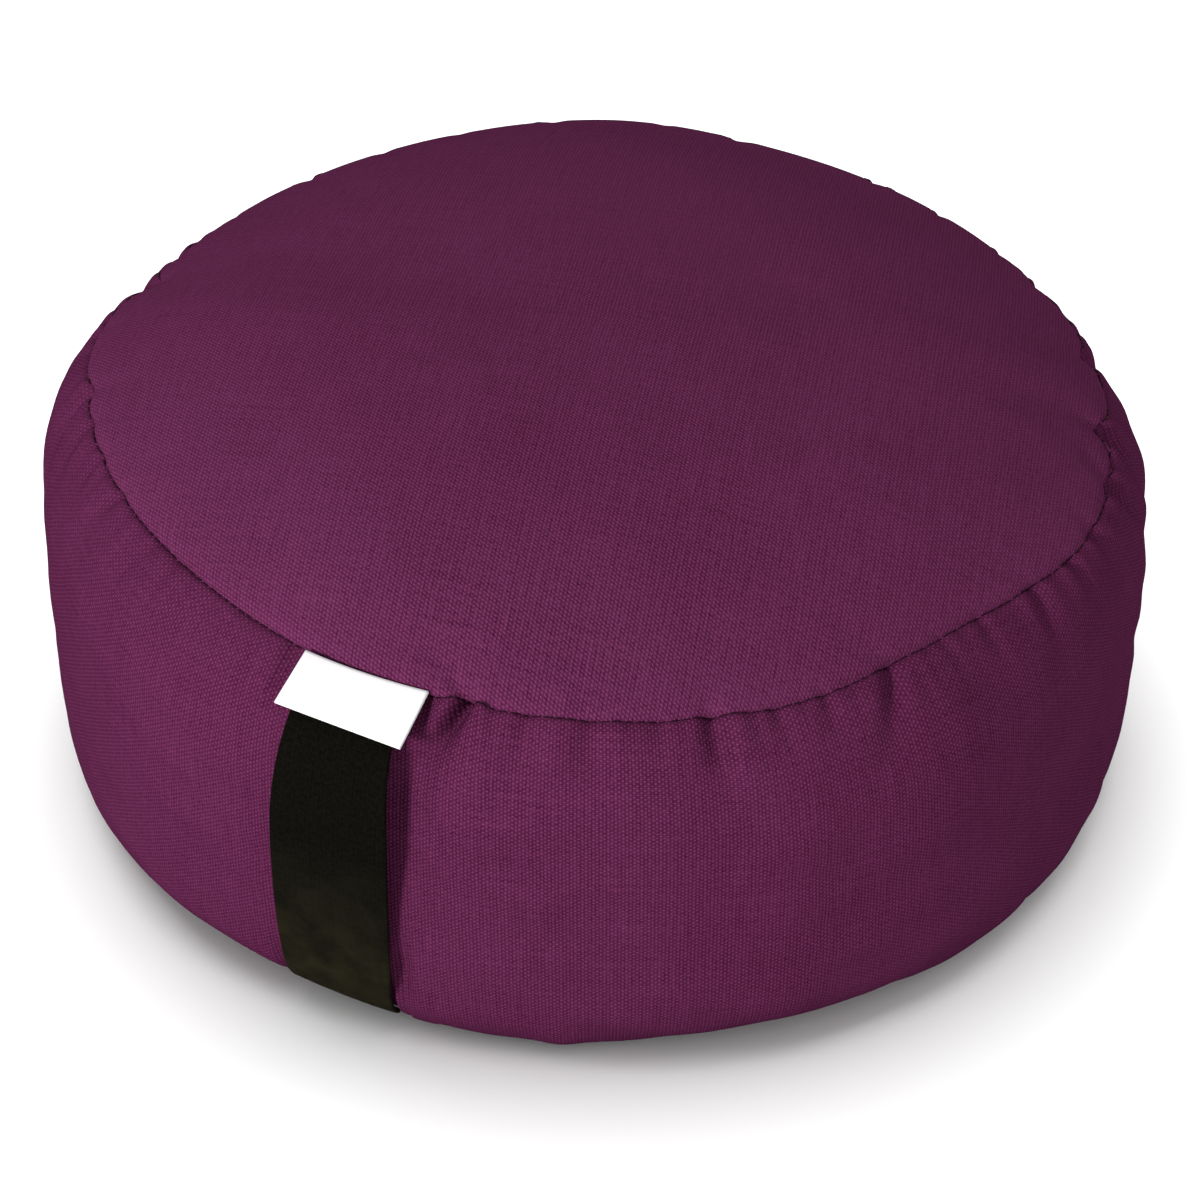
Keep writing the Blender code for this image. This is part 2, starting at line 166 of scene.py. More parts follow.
# One row for each pucker: half_width in degrees, depth in mm at its deepest, reach in mm from
# the seam, lean in degrees sideways over that reach, pull of the seam inwards in mm.
Gather = namedtuple("Gather", "angle half_width depth reach lean pull")
TOP_GATHERS = (
    Gather(0.7, 1.6, 2.2, 24, 1.4, 0.5),
    Gather(9.0, 1.7, 4.6, 30, 4.5, 1.2),
    Gather(17.4, 2.2, 6.8, 25, 0.8, 5.2),
    Gather(17.5, 1.1, 3.4, 26, 0.8, 0.0),
    Gather(32.5, 2.4, 5.0, 34, 0.0, 3.6),
    Gather(48.6, 1.5, 2.4, 26, 1.0, 1.8),
    Gather(56.5, 1.4, 1.6, 18, 0.0, 1.0),
    Gather(67.0, 1.4, 2.4, 26, -1.0, 1.2),
    Gather(77.2, 1.3, 2.0, 22, 1.0, 1.0),
    Gather(96.2, 1.8, 2.8, 28, 2.0, 2.2),
    Gather(107.0, 1.2, 1.4, 18, -1.0, 0.4),
    Gather(120.5, 1.4, 2.0, 24, 1.5, 0.8),
    Gather(133.5, 1.2, 1.2, 16, 0.0, 0.3),
    Gather(144.5, 1.3, 1.8, 22, -1.5, 0.8),
    Gather(154.8, 1.4, 2.4, 26, 1.0, 1.6),
    Gather(167.5, 1.2, 1.4, 18, -1.0, 0.4),
    Gather(178.0, 1.4, 2.4, 24, 1.0, 1.2),
    Gather(186.8, 2.4, 3.6, 24, 0.0, 6.5),
    Gather(198.0, 1.3, 1.4, 18, 1.0, 0.2),
    Gather(210.5, 1.8, 3.0, 28, 2.0, 2.4),
    Gather(216.2, 1.2, 1.8, 18, 1.4, 0.8),
    Gather(222.5, 1.1, 1.6, 16, 0.7, 0.6),
    Gather(229.8, 1.1, 1.6, 14, -0.7, 0.5),
    Gather(239.5, 1.1, 0.8, 14, -1.0, 0.1),
    Gather(250.1, 1.1, 0.7, 14, 1.0, 0.1),
    Gather(281.8, 1.3, 9.0, 20, -3.4, 1.7),
    Gather(288.0, 2.0, 1.6, 24, -1.8, 0.2),
    Gather(294.0, 2.1, 1.8, 24, -0.3, 0.1),
    Gather(301.0, 1.2, 0.8, 14, -0.4, 0.0),
    Gather(306.2, 2.0, 3.2, 26, 0.4, 0.8),
    Gather(312.8, 1.3, 0.9, 14, 0.6, 0.0),
    Gather(318.6, 1.4, 1.3, 18, -0.8, 0.1),
    Gather(327.3, 1.9, 2.8, 28, -5.2, 0.8),
    Gather(334.0, 1.2, 0.8, 14, 0.5, 0.0),
    Gather(340.2, 1.3, 1.2, 16, -0.5, 0.1),
    Gather(348.5, 1.5, 1.9, 22, -1.8, 0.4),
    Gather(354.8, 1.2, 1.0, 16, 0.4, 0.1),
)
FOOT_GATHERS = (
    Gather(3.5, 1.2, 1.4, 22, 1.0, 0.6),
    Gather(21.5, 1.4, 1.8, 24, -1.0, 0.8),
    Gather(40.5, 1.2, 1.6, 22, 1.0, 0.6),
    Gather(62.5, 1.4, 1.8, 24, 1.0, 0.8),
    Gather(83.5, 1.2, 1.6, 22, -1.0, 0.6),
    Gather(102.5, 1.4, 1.8, 24, 1.0, 0.8),
    Gather(126.5, 1.2, 1.4, 20, 0.0, 0.6),
    Gather(148.5, 1.4, 1.8, 24, -1.0, 0.8),
    Gather(170.5, 1.2, 1.6, 22, 1.0, 0.6),
    Gather(194.5, 1.4, 1.6, 22, 1.0, 0.6),
    Gather(215.5, 1.2, 0.8, 16, -1.0, 0.2),
    Gather(325.5, 1.6, 0.8, 22, -1.0, 0.2),
    Gather(344.5, 1.4, 0.8, 20, 1.0, 0.3),
)

# One row for each softer place in the cloth: half_width in degrees, depth in mm that it is pressed
# in by (or swells out where it is less than 0), its distance from the seam and how far it spreads
# up and down, in mm, and its lean in degrees over that spread.
Dent = namedtuple("Dent", "angle half_width depth distance spread lean")
TOP_DENTS = (
    Dent(16.5, 7.0, -4.6, 26, 14, 0.0),
    Dent(30.0, 6.0, -1.0, 16, 14, 0.0),
    Dent(283.4, 1.5, -0.8, 9, 9, 0.0),
    Dent(290.9, 1.5, -0.7, 8, 9, 0.3),
    Dent(298.5, 2.4, -0.8, 14, 12, 0.6),
    Dent(309.3, 1.9, -0.9, 11, 11, 0.0),
    Dent(322.5, 2.4, -0.7, 14, 12, 0.0),
    Dent(332.0, 2.4, -0.7, 16, 14, -1.0),
)
FOOT_DENTS = (
    Dent(275.7, 0.95, 3.4, 27, 13, 0.3),
    Dent(274.9, 0.33, -2.2, 14, 13, 0.0),
    Dent(291.0, 2.4, -1.3, 5, 7, 0.0),
)
CREASE_SHARPNESS = 2.2
CREASE_BLUNTNESS = 0.1       # keeps the bottom of the sharp part round
SOFT_SHARE = 0.8             # part of a crease that is a soft hollow, the rest is sharp
CREASE_LOBES = 0.26          # how full the cloth stands on both sides of a crease, to its depth
LOBE_DISTANCE = 1.8          # how far aside that is, to the crease's width
CREASE_FADE = 1.6
LEAN_LIMIT = 1.5             # how many reaches from the seam a crease goes on leaning
GATHER_PINCH = 0.62          # its width at the seam, to its full width
SWELL_WIDTH = 3.2            # each crease lies in a wider, longer and softer hollow
SWELL_DEPTH = 0.45
CROWN_SHARE = 0.22           # its depth on the top panel, to that on the band
CROWN_REACH = 0.45
PULL_FADE = 0.014            # how far into the top panel a drawn-in seam is felt
PULL_WIDTH = 1.3             # how wide the seam is drawn in, to the pucker's width

RIPPLE_DEPTH = 0.00032       # between the puckers the cloth is drawn up into fine ripples
RIPPLE_REACH = 0.0090
RIPPLE_COUNTS = (61, 83, 97, 113, 139)   # ripples round the seam, added together
RIPPLE_SHIFT = 1.9           # radians by which each of them starts later than the one before
LUMP_DEPTH = 0.00030         # the filling shows through as faint soft lumps
LUMP_COUNTS = ((7, 31), (11, -43), (17, 52), (23, -37), (29, 61))   # round it, up it per metre

SEAM_VALLEY_DEPTH = 0.0017   # the two panels turn in to each other along a seam
SEAM_VALLEY_REACH = 0.0011

HANDLE_ANGLE = 270.0
HANDLE_FOOT_ANGLE = 268.4
TOP_RECESS_DEPTH = 0.0036    # the band gives way where handle and label go into the upper seam
TOP_RECESS_REACH = 0.0120
TOP_RECESS_HALF_ANGLE = 7.6
FOOT_RECESS_DEPTH = 0.0024   # and where the handle is drawn tight over the foot
FOOT_RECESS_REACH = 0.0320
FOOT_RECESS_HALF_ANGLE = 6.0
TOP_RECESS_FADE = 1.8        # degrees over which the recess ends, beside the label and the handle
FOOT_RECESS_FADE = 1.5


def around(column, angle):
    """A column of SECTIONS at any angle, in metres: a smooth closed curve through its rows."""
    values = np.array([getattr(row, column) for row in SECTIONS]) * MM
    place = np.mod(angle, 360.0) / 360.0 * len(values)
    row = np.floor(place).astype(int)
    before, here, after, beyond = (values[(row + step) % len(values)] for step in (-1, 0, 1, 2))
    return curve_through(before, here, after, beyond, place - row)


def curve_through(before, here, after, beyond, part):
    """A smooth curve at a part of the way from here to after, with its neighbours' values."""
    slope = after - before
    bend = 2 * before - 5 * here + 4 * after - beyond
    twist = 3 * (here - after) + beyond - before
    return here + 0.5 * part * (slope + part * (bend + part * twist))


def turn_between(angle, other):
    """The signed turn from other to angle, between -180 and 180 degrees."""
    return np.mod(angle - other + 180.0, 360.0) - 180.0


def seam_pull(angle, gathers):
    """How far the puckers draw a seam in towards the axis."""
    drawn = np.zeros_like(angle)
    for gather in gathers:
        away = turn_between(angle, gather.angle) / (PULL_WIDTH * gather.half_width)
        drawn += gather.pull * MM * np.exp(-away ** 2)
    return drawn


def gather_depth(angle, distance, gathers, reach_share=1.0):
    """How deep the puckers press the cloth in, at that distance from the seam."""
    pressed = np.zeros(np.broadcast(angle, distance).shape)
    for gather in gathers:
        share = distance / (gather.reach * MM * reach_share)
        width = gather.half_width * (GATHER_PINCH + (1 - GATHER_PINCH) * np.minimum(share, 1))
        turn = turn_between(angle, gather.angle + gather.lean * np.minimum(share, LEAN_LIMIT))
        away = np.abs(turn) / width
        crease = SOFT_SHARE * np.exp(-away ** 2)
        blunted = np.sqrt(away ** 2 + CREASE_BLUNTNESS)
        crease += (1 - SOFT_SHARE) * np.exp(-CREASE_SHARPNESS * away ** 2 / blunted)
        crease -= CREASE_LOBES * np.exp(-(away - LOBE_DISTANCE) ** 2)
        crease *= np.exp(-(CREASE_FADE * share) ** 2)
        wide = turn / (SWELL_WIDTH * gather.half_width)
        swell = SWELL_DEPTH * share * np.exp(1 - share) * (1 - wide ** 2) * np.exp(-wide ** 2)
        pressed += gather.depth * MM * (crease + swell)
    return pressed


def dent_depth(angle, distance, dents):
    """How deep the softer places are pressed in, at that distance from the seam."""
    pressed = np.zeros(np.broadcast(angle, distance).shape)
    for dent in dents:
        along = (distance / MM - dent.distance) / dent.spread
        turn = turn_between(angle, dent.angle + dent.lean * along)
        pressed += dent.depth * MM * np.exp(-(turn / dent.half_width) ** 2 - along ** 2)
    return pressed


def ripples(angle, distance):
    """The fine ripples along a seam, at that distance from it."""
    turn = np.radians(angle)
    waves = sum(
        np.sin(count * turn + RIPPLE_SHIFT * place) for place, count in enumerate(RIPPLE_COUNTS)
    )
    return RIPPLE_DEPTH * waves * np.exp(-distance / RIPPLE_REACH) / math.sqrt(len(RIPPLE_COUNTS))


def lumps(angle, height):
    """The faint unevenness of the filling."""
    turn = np.radians(angle)
    waves = sum(
        np.sin(count * turn + 2 * math.pi * rise * height + count) for count, rise in LUMP_COUNTS
    )
    return LUMP_DEPTH * waves / math.sqrt(len(LUMP_COUNTS))


def within(angle, middle, half_angle, fade):
    """1 within half_angle of the middle, and 0 beyond its fade."""
    share = np.clip(1 - (np.abs(turn_between(angle, middle)) - half_angle) / fade, 0, 1)
    return share * share * (3 - 2 * share)


def behind_label(angle):
    """1 behind the handle's top end and the label, 0 beside them."""
    return within(angle, HANDLE_ANGLE, TOP_RECESS_HALF_ANGLE, TOP_RECESS_FADE)


def handle_recess(angle, below, above):
    """How far the band gives way behind the handle, by the distance from each seam."""
    top = TOP_RECESS_DEPTH * np.exp(-(below / TOP_RECESS_REACH) ** 2)
    foot = FOOT_RECESS_DEPTH * np.exp(-(above / FOOT_RECESS_REACH) ** 2)
    foot = foot * within(angle, HANDLE_FOOT_ANGLE, FOOT_RECESS_HALF_ANGLE, FOOT_RECESS_FADE)
    return top * behind_label(angle) + foot


def crown_height(angle, radius):
    """Height of the top panel at that radius, and its slope there."""
    rim_radius = around("seam_radius", angle)
    share = radius / rim_radius
    over = around("seam_height", angle) - MEAN_SEAM_HEIGHT
    height = MEAN_SEAM_HEIGHT + over * share ** LOPSIDED_POWER
    height = height + CROWN_RISE * (1 - share ** CROWN_POWER)
    slope = LOPSIDED_POWER * over * share ** (LOPSIDED_POWER - 1)
    slope = slope - CROWN_RISE * CROWN_POWER * share ** (CROWN_POWER - 1)
    return height, slope / rim_radius


def upper_seam(angle):
    """Radius and height of the seam between the top panel and the band."""
    radius = around("seam_radius", angle) - seam_pull(angle, TOP_GATHERS)
    height, _ = crown_height(angle, radius)
    return radius, height


def foot_radius(angle):
    """Radius of the lower seam."""
    return around("foot_radius", angle) - seam_pull(angle, FOOT_GATHERS)


def band_profile(angle, turn):
    """The side band at a turn of its profile, 90 at the upper seam and -90 at the lower."""
    upper = turn >= 0
    seam_radius, seam_height = upper_seam(angle)
    end_radius = seam_radius if upper else foot_radius(angle)
    end_height = seam_height if upper else np.full_like(angle, FOOT_SEAM_HEIGHT)
    bulge_radius = around("bulge_radius", angle)
    power = around("shoulder", angle) / MM if upper else FOOT_POWER
    share = math.sin(math.radians(abs(turn)))
    height = BULGE_HEIGHT + (end_height - BULGE_HEIGHT) * share
    radius = bulge_radius - (bulge_radius - end_radius) * share ** power
    slope = (bulge_radius - end_radius) * power * share ** (power - 1)
    slope = slope / (end_height - BULGE_HEIGHT)
    length = np.hypot(1, slope)
    return radius, height, 1 / length, slope / length


def from_seams(angle, radius, height):
    """Distance of a place on the band from the seam above it and from the one below it."""
    seam_radius, seam_height = upper_seam(angle)
    below = np.hypot(radius - seam_radius, height - seam_height)
    above = np.hypot(radius - foot_radius(angle), height - FOOT_SEAM_HEIGHT)
    return below, above


def points_at(angle, radius, height):
    """Places given round the axis, as an array of points."""
    turn = np.radians(angle)
    return np.stack([radius * np.cos(turn), radius * np.sin(turn), height], axis=-1)


def band_skin(angle, turn):
    """A ring of the band's cloth, with its seam valleys, recess and puckers."""
    radius, height, out, up = band_profile(angle, turn)
    below, above = from_seams(angle, radius, height)
    valley = np.exp(-below / SEAM_VALLEY_REACH) + np.exp(-above / SEAM_VALLEY_REACH)
    inward = SEAM_VALLEY_DEPTH * valley * (1 - behind_label(angle))
    inward = inward + handle_recess(angle, below, above)
    inward = inward + gather_depth(angle, below, TOP_GATHERS)
    inward = inward + gather_depth(angle, above, FOOT_GATHERS)
    inward = inward + dent_depth(angle, below, TOP_DENTS) + dent_depth(angle, above, FOOT_DENTS)
    inward = inward + (1 - behind_label(angle)) * (ripples(angle, below) + lumps(angle, height))
    height = np.maximum(height - inward * up, LOWEST_BAND_HEIGHT)
    return points_at(angle, radius - inward * out, height)


def crown_skin(angle, distance):
    """A ring of the top panel at that distance from the seam."""
    drawn = seam_pull(angle, TOP_GATHERS) * math.exp(-distance / PULL_FADE)
    radius = around("seam_radius", angle) - distance - drawn
    height, slope = crown_height(angle, radius)
    inward = SEAM_VALLEY_DEPTH * math.exp(-distance / SEAM_VALLEY_REACH)
    inward = inward + CROWN_SHARE * gather_depth(angle, distance, TOP_GATHERS, CROWN_REACH)
    length = np.hypot(1, slope)
    return points_at(angle, radius + inward * slope / length, height - inward / length)


def base_skin(angle, share):
    """A ring of the bottom panel, from the lower seam (0) to its flat part (1)."""
    radius = foot_radius(angle) * (1 - (1 - FLAT_BASE_SHARE) * share)
    return points_at(angle, radius, np.full_like(angle, FOOT_SEAM_HEIGHT * (1 - share) ** 2))


COVER_COLUMNS = 1200
CROWN_STEPS = 22
CROWN_DEPTH = 0.150          # from the seam to the innermost ring of the top panel
BAND_STEPS_ABOVE = 34        # from the upper seam down to the bulge, closest at the seam
BAND_STEPS_BELOW = 20
BASE_STEPS = (0.33, 0.66, 1.0)
ROW_CROWDING = 1.6
angle = np.arange(COVER_COLUMNS) * 360.0 / COVER_COLUMNS
crown_distances = CROWN_DEPTH * np.linspace(1, 0, CROWN_STEPS, endpoint=False) ** 2
crown_rings = [crown_skin(angle, distance) for distance in crown_distances]
down = (np.arange(BAND_STEPS_ABOVE) / BAND_STEPS_ABOVE) ** ROW_CROWDING
up = (np.arange(BAND_STEPS_BELOW + 1) / BAND_STEPS_BELOW) ** ROW_CROWDING
band_turns = np.degrees(np.concatenate([np.arcsin(1 - down), -np.arcsin(1 - up[::-1])]))
band_rings = [band_skin(angle, turn) for turn in band_turns]
base_rings = [base_skin(angle, share) for share in BASE_STEPS]

RIB_PITCH = 0.00113          # warp ribs of the canvas, side by side
PICK_PITCH = 0.00066         # weft threads, one above the other
PANEL_RIB_TURN = 15.2        # which way the ribs of the top panel count up, in degrees round
PANEL_PICK_TURN = 98.4       # its weft is a little off square, as canvas is
BAND_RIBS = 1068             # ribs in the whole band, an even number so that the weave meets
BAND_PICK_PITCH = 0.00070
PANEL_SLANT = -0.85          # how far the twist of the yarn slants the humps of the weave
BAND_SLANT = -0.10


def thread_counts(flat):
    """Where places on a flat panel lie in its weave: so many ribs across and picks along."""
    rib_turn, pick_turn = math.radians(PANEL_RIB_TURN), math.radians(PANEL_PICK_TURN)
    ribs = (flat[..., 0] * math.cos(rib_turn) + flat[..., 1] * math.sin(rib_turn)) / RIB_PITCH
    picks = (flat[..., 0] * math.cos(pick_turn) + flat[..., 1] * math.sin(pick_turn)) / PICK_PITCH
    return np.stack([ribs, picks], axis=-1)


def cover_from_rings(crown, band, base):
    """The closed cover through its rings, with a map of its threads for each panel."""
    rings = np.array(crown + band + base)
    count = rings.shape[1]
    here = np.arange(count)
    after = (here + 1) % count
    crown_reach = len(crown) + 1
    band_reach = len(crown) + len(band)
    middle = rings[0].mean(axis=0)
    steps = np.linalg.norm(np.diff(rings, axis=0), axis=2)
    out_from_middle = np.linalg.norm(rings[0] - middle, axis=1)
    cloth_radius = np.vstack([out_from_middle, out_from_middle + np.cumsum(steps, axis=0)])
    turn = np.radians(here * 360.0 / count)
    facing = np.stack([np.cos(turn), np.sin(turn)], axis=-1)
    crown_threads = thread_counts(cloth_radius[:crown_reach, :, None] * facing)
    down_band = np.concatenate([[0], np.cumsum(steps[len(crown):band_reach - 1].mean(axis=1))])
    base_threads = thread_counts(rings[band_reach - 1:, :, :2])

    faces = []
    threads = []
    for row in range(len(rings) - 1):
        upper, lower = row * count, (row + 1) * count
        quads = [upper + here, lower + here, lower + after, upper + after]
        faces += np.stack(quads, axis=1).tolist()
        if row + 1 < crown_reach:
            above, below = crown_threads[row], crown_threads[row + 1]
            corners = [above[here], below[here], below[after], above[after]]
        elif row + 1 < band_reach:
            start = np.stack([here, here, here + 1, here + 1]) * BAND_RIBS / count
            top, bottom = (down_band[row - len(crown) + step] / BAND_PICK_PITCH for step in (0, 1))
            rise = np.array([top, bottom, bottom, top])[:, None] + np.zeros(count)
            corners = list(np.stack([start, rise], axis=-1))
        else:
            above, below = (base_threads[row - band_reach + 1 + step] for step in (0, 1))
            corners = [above[here], below[here], below[after], above[after]]
        threads.append(np.stack(corners, axis=1).reshape(-1, 2))
    centre = len(rings) * count
    faces += [[centre, int(one), int(two)] for one, two in zip(here, after)]
    fan = [np.zeros((count, 2)), crown_threads[0][here], crown_threads[0][after]]
    threads.append(np.stack(fan, axis=1).reshape(-1, 2))
    last = (len(rings) - 1) * count
    faces.append([last + int(one) for one in reversed(here)])
    threads.append(base_threads[-1][::-1])

    mesh = bpy.data.meshes.new("canvas_cover")
    mesh.from_pydata(np.vstack([rings.reshape(-1, 3), middle]).tolist(), [], faces)
    thread_map = mesh.uv_layers.new(name="threads")
    thread_map.data.foreach_set("uv", np.concatenate(threads).astype(np.float32).ravel())
    on_band = [crown_reach - 1 <= face // count < band_reach - 1 for face in range(len(faces))]
    slant = mesh.attributes.new("slant", "FLOAT", "FACE")
    slant.data.foreach_set("value", np.where(on_band, BAND_SLANT, PANEL_SLANT).astype(np.float32))
    return mesh


cover_mesh = cover_from_rings(crown_rings, band_rings, base_rings)
cover_mesh.shade_smooth()
cover = put_in_scene("canvas_cover", cover_mesh)

CANVAS_GAP_PAINTED_SHADE = (0.0215, 0.0020, 0.0105)    # dye between the threads darkened as painted shade, and on their fuzzy crests lightened as painted highlight
CANVAS_CREST_PAINTED_LIGHT = (0.1080, 0.0228, 0.0690)
CANVAS_ROUGHNESS = 0.82
CANVAS_WEAVE_DEPTH = 0.00016
WEFT_SHARE = 0.30            # how high the weft stands, to the warp
RIB_SHARE = 0.20             # how much the warp reads as an unbroken rib
# How strong each unevenness is, and how often it changes across the ribs and along them.
SLUB_STRENGTH = 0.9          # thicker and thinner stretches of yarn
WARP_SLUB = (1.0, 0.035, 1.0)
WEFT_SLUB = (0.03, 1.0, 1.0)
FLECK_STRENGTH = 0.8         # single threads that took more or less dye
FLECKS = (0.9, 0.5, 1.0)
PATCH_STRENGTH = 0.25        # wide faint patches
PATCHES = (0.02, 0.012, 1.0)
MIDDLE_TONE = 0.48           # what the weave averages, between gap and crest
TONE_REACH = 0.53            # how far above and below it the dye and the painted shade go on changing
PANEL_PAINTED_LIGHT = 0.14            # painted light and shade: the panels are coloured a shade lighter, the band a shade darker
BAND_PAINTED_SHADE = -0.06
PANEL_CLEARNESS = 1.15       # and their weave is a little clearer
BAND_CLEARNESS = 0.84
CLEAREST_WEAVE = (0.07, -0.15, 0.12)     # at the front edge; the weave fades away from there
CLEARNESS_NEAR = (0.03, 0.92)            # distance from it, and clearness there
CLEARNESS_FAR = (0.30, 0.50)


def calc(tree, operation, *values):
    """A sum on numbers or on other nodes' results, as the result's socket."""
    node = tree.nodes.new("ShaderNodeMath")
    node.operation = operation
    for socket, value in zip(node.inputs, values):
        if isinstance(value, (int, float)):
            socket.default_value = value
        else:
            tree.links.new(value, socket)
    return node.outputs[0]


def cloud(tree, place, scale, detail=2.0, roughness=0.5):
    """Soft random patches, from 0 to 1."""
    node = tree.nodes.new("ShaderNodeTexNoise")
    node.inputs["Scale"].default_value = scale
    node.inputs["Detail"].default_value = detail
    node.inputs["Roughness"].default_value = roughness
    tree.links.new(place, node.inputs["Vector"])
    return node.outputs["Fac"]


def thread_spots(tree, map_name):
    """The piece's own map of its threads."""
    node = tree.nodes.new("ShaderNodeUVMap")
    node.uv_map = map_name
    return node.outputs["UV"]


def laid_over(tree, value, pattern, strength):
    """A value with a pattern laid over it: lighter where that is over a half, and darker below."""
    share = calc(tree, "MULTIPLY", calc(tree, "SUBTRACT", pattern, 0.5), strength)
    return calc(tree, "ADD", value, share)


def stretched(tree, place, scale):
    """A place with each of its axes scaled."""
    node = tree.nodes.new("ShaderNodeMapping")
    node.inputs["Scale"].default_value = scale
    tree.links.new(place, node.inputs["Vector"])
    return node.outputs["Vector"]


def plain_weave(tree, place, weft_share, rib_share, slant=0.0):
    """How high the threads of a plain weave stand, from 0 to 1, at a place counted in threads.

    The warp reads as an unbroken rib where rib_share is 1, and as separate humps where it is 0,
    and slant is how far the yarn's twist slants each hump.
    """
    split = tree.nodes.new("ShaderNodeSeparateXYZ")
    tree.links.new(place, split.inputs[0])
    across, along = split.outputs["X"], split.outputs["Y"]

    def hump(position, other):
        """1 on the middle of a thread where it lies on top, 0 where it dips under."""
        part = calc(tree, "FRACT", position)
        aside = calc(tree, "MULTIPLY", calc(tree, "SUBTRACT", part, 0.5), slant)
        thread = calc(tree, "SUBTRACT", calc(tree, "FLOOR", position), aside)
        over = calc(tree, "SINE", calc(tree, "MULTIPLY", calc(tree, "ADD", other, thread), math.pi))
        round_top = calc(tree, "SINE", calc(tree, "MULTIPLY", part, math.pi))
        return calc(tree, "MULTIPLY", calc(tree, "MAXIMUM", over, 0.0), round_top)

    rib = calc(tree, "SINE", calc(tree, "MULTIPLY", calc(tree, "FRACT", across), math.pi))
    warp = calc(tree, "MULTIPLY", hump(across, along), 1 - rib_share)
    warp = calc(tree, "ADD", warp, calc(tree, "MULTIPLY", rib, rib_share))
    weft = calc(tree, "MULTIPLY", hump(along, calc(tree, "ADD", across, 1.0)), weft_share)
    return calc(tree, "MAXIMUM", warp, weft)


def blend_colours(tree, share, first, second):
    """A colour between two colours or colour sockets."""
    node = tree.nodes.new("ShaderNodeMix")
    node.data_type = "RGBA"
    tree.links.new(share, node.inputs[0])
    for socket, value in ((node.inputs[6], first), (node.inputs[7], second)):
        if isinstance(value, tuple):
            socket.default_value = (*value, 1)
        else:
            tree.links.new(value, socket)
    return node.outputs[2]


def span(tree, value, low, high, new_low, new_high):
    """A value mapped from one range to another and kept within it."""
    node = tree.nodes.new("ShaderNodeMapRange")
    for socket, number in zip(node.inputs[1:5], (low, high, new_low, new_high)):
        socket.default_value = number
    tree.links.new(value, node.inputs[0])
    return node.outputs[0]


def bumped(tree, shader, height, depth):
    """The shader's surface raised by height, from 0 to 1, times depth in metres."""
    bump = tree.nodes.new("ShaderNodeBump")
    bump.inputs["Strength"].default_value = 1.0
    bump.inputs["Distance"].default_value = depth
    tree.links.new(height, bump.inputs["Height"])
    tree.links.new(bump.outputs["Normal"], shader.inputs["Normal"])


canvas = bpy.data.materials.new("plum_canvas")
canvas.use_nodes = True
tree = canvas.node_tree
canvas_shader = tree.nodes["Principled BSDF"]
threads = thread_spots(tree, "threads")
slant_node = tree.nodes.new("ShaderNodeAttribute")
slant_node.attribute_name = "slant"
yarn_slant = slant_node.outputs["Fac"]
weave = plain_weave(tree, threads, WEFT_SHARE, RIB_SHARE, yarn_slant)
warp_slub = cloud(tree, stretched(tree, threads, WARP_SLUB), 1.0, 3.0, 0.6)
weft_slub = cloud(tree, stretched(tree, threads, WEFT_SLUB), 1.0, 3.0, 0.6)
slub = calc(tree, "MULTIPLY", calc(tree, "ADD", warp_slub, weft_slub), 0.5)
fleck = cloud(tree, stretched(tree, threads, FLECKS), 1.0, 2.0, 0.7)
patch = cloud(tree, stretched(tree, threads, PATCHES), 1.0, 3.0, 0.5)
# the weave's height gives painted shade in the gaps and painted highlight on the crests; the yarn's
# uneven dye is laid over it
lit = laid_over(tree, weave, slub, SLUB_STRENGTH)
lit = laid_over(tree, lit, fleck, FLECK_STRENGTH)
lit = laid_over(tree, lit, patch, PATCH_STRENGTH)
cover_place = tree.nodes.new("ShaderNodeTexCoord")
from_edge = tree.nodes.new("ShaderNodeVectorMath")
from_edge.operation = "DISTANCE"
from_edge.inputs[1].default_value = CLEAREST_WEAVE
tree.links.new(cover_place.outputs["Object"], from_edge.inputs[0])
distances, clearnesses = zip(CLEARNESS_NEAR, CLEARNESS_FAR)
clearness = span(tree, from_edge.outputs["Value"], *distances, *clearnesses)
slants = (PANEL_SLANT, BAND_SLANT)
panel_clearness = span(tree, yarn_slant, *slants, PANEL_CLEARNESS, BAND_CLEARNESS)
clearness = calc(tree, "MULTIPLY", clearness, panel_clearness)
lit = calc(tree, "MULTIPLY", calc(tree, "SUBTRACT", lit, MIDDLE_TONE), clearness)
# painted light on the panels and painted shade on the band
lit = calc(tree, "ADD", lit, span(tree, yarn_slant, *slants, PANEL_PAINTED_LIGHT, BAND_PAINTED_SHADE))
lit = span(tree, lit, -TONE_REACH, TONE_REACH, 0.0, 1.0)
# the canvas colour: its dye, with painted shade between the threads and painted highlight on their
# crests
canvas_dye_and_painted_shade = blend_colours(tree, lit, CANVAS_GAP_PAINTED_SHADE, CANVAS_CREST_PAINTED_LIGHT)
tree.links.new(canvas_dye_and_painted_shade, canvas_shader.inputs["Base Color"])
canvas_shader.inputs["Roughness"].default_value = CANVAS_ROUGHNESS
canvas_shader.inputs["Specular IOR Level"].default_value = 0.0
thread_height = calc(tree, "ADD", weave, calc(tree, "MULTIPLY", slub, 0.5))
bumped(tree, canvas_shader, thread_height, CANVAS_WEAVE_DEPTH)
cover_mesh.materials.append(canvas)
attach(cover, "root")
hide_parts("cushion")


# ============================================================ the sewing thread
# Both seams are sewn with a dark polyester thread. From outside it shows as short stitches at the
# bottom of the seam's valley, which pull the two panels together.
STITCH_PITCH = 0.0033
STITCH_LENGTH = 0.0029
STITCH_THICKNESS = 0.00062
STITCH_FULLNESS = 0.12       # how much a stitch is drawn out from its middle
STITCH_LEAN = (0.04, 0.10, 0.09)   # most that one stitch is turned from the next, in radians
STITCH_SEED = 7
FOOT_STITCH_INSET = 0.12     # how far under the foot the lower row lies, to the next ring
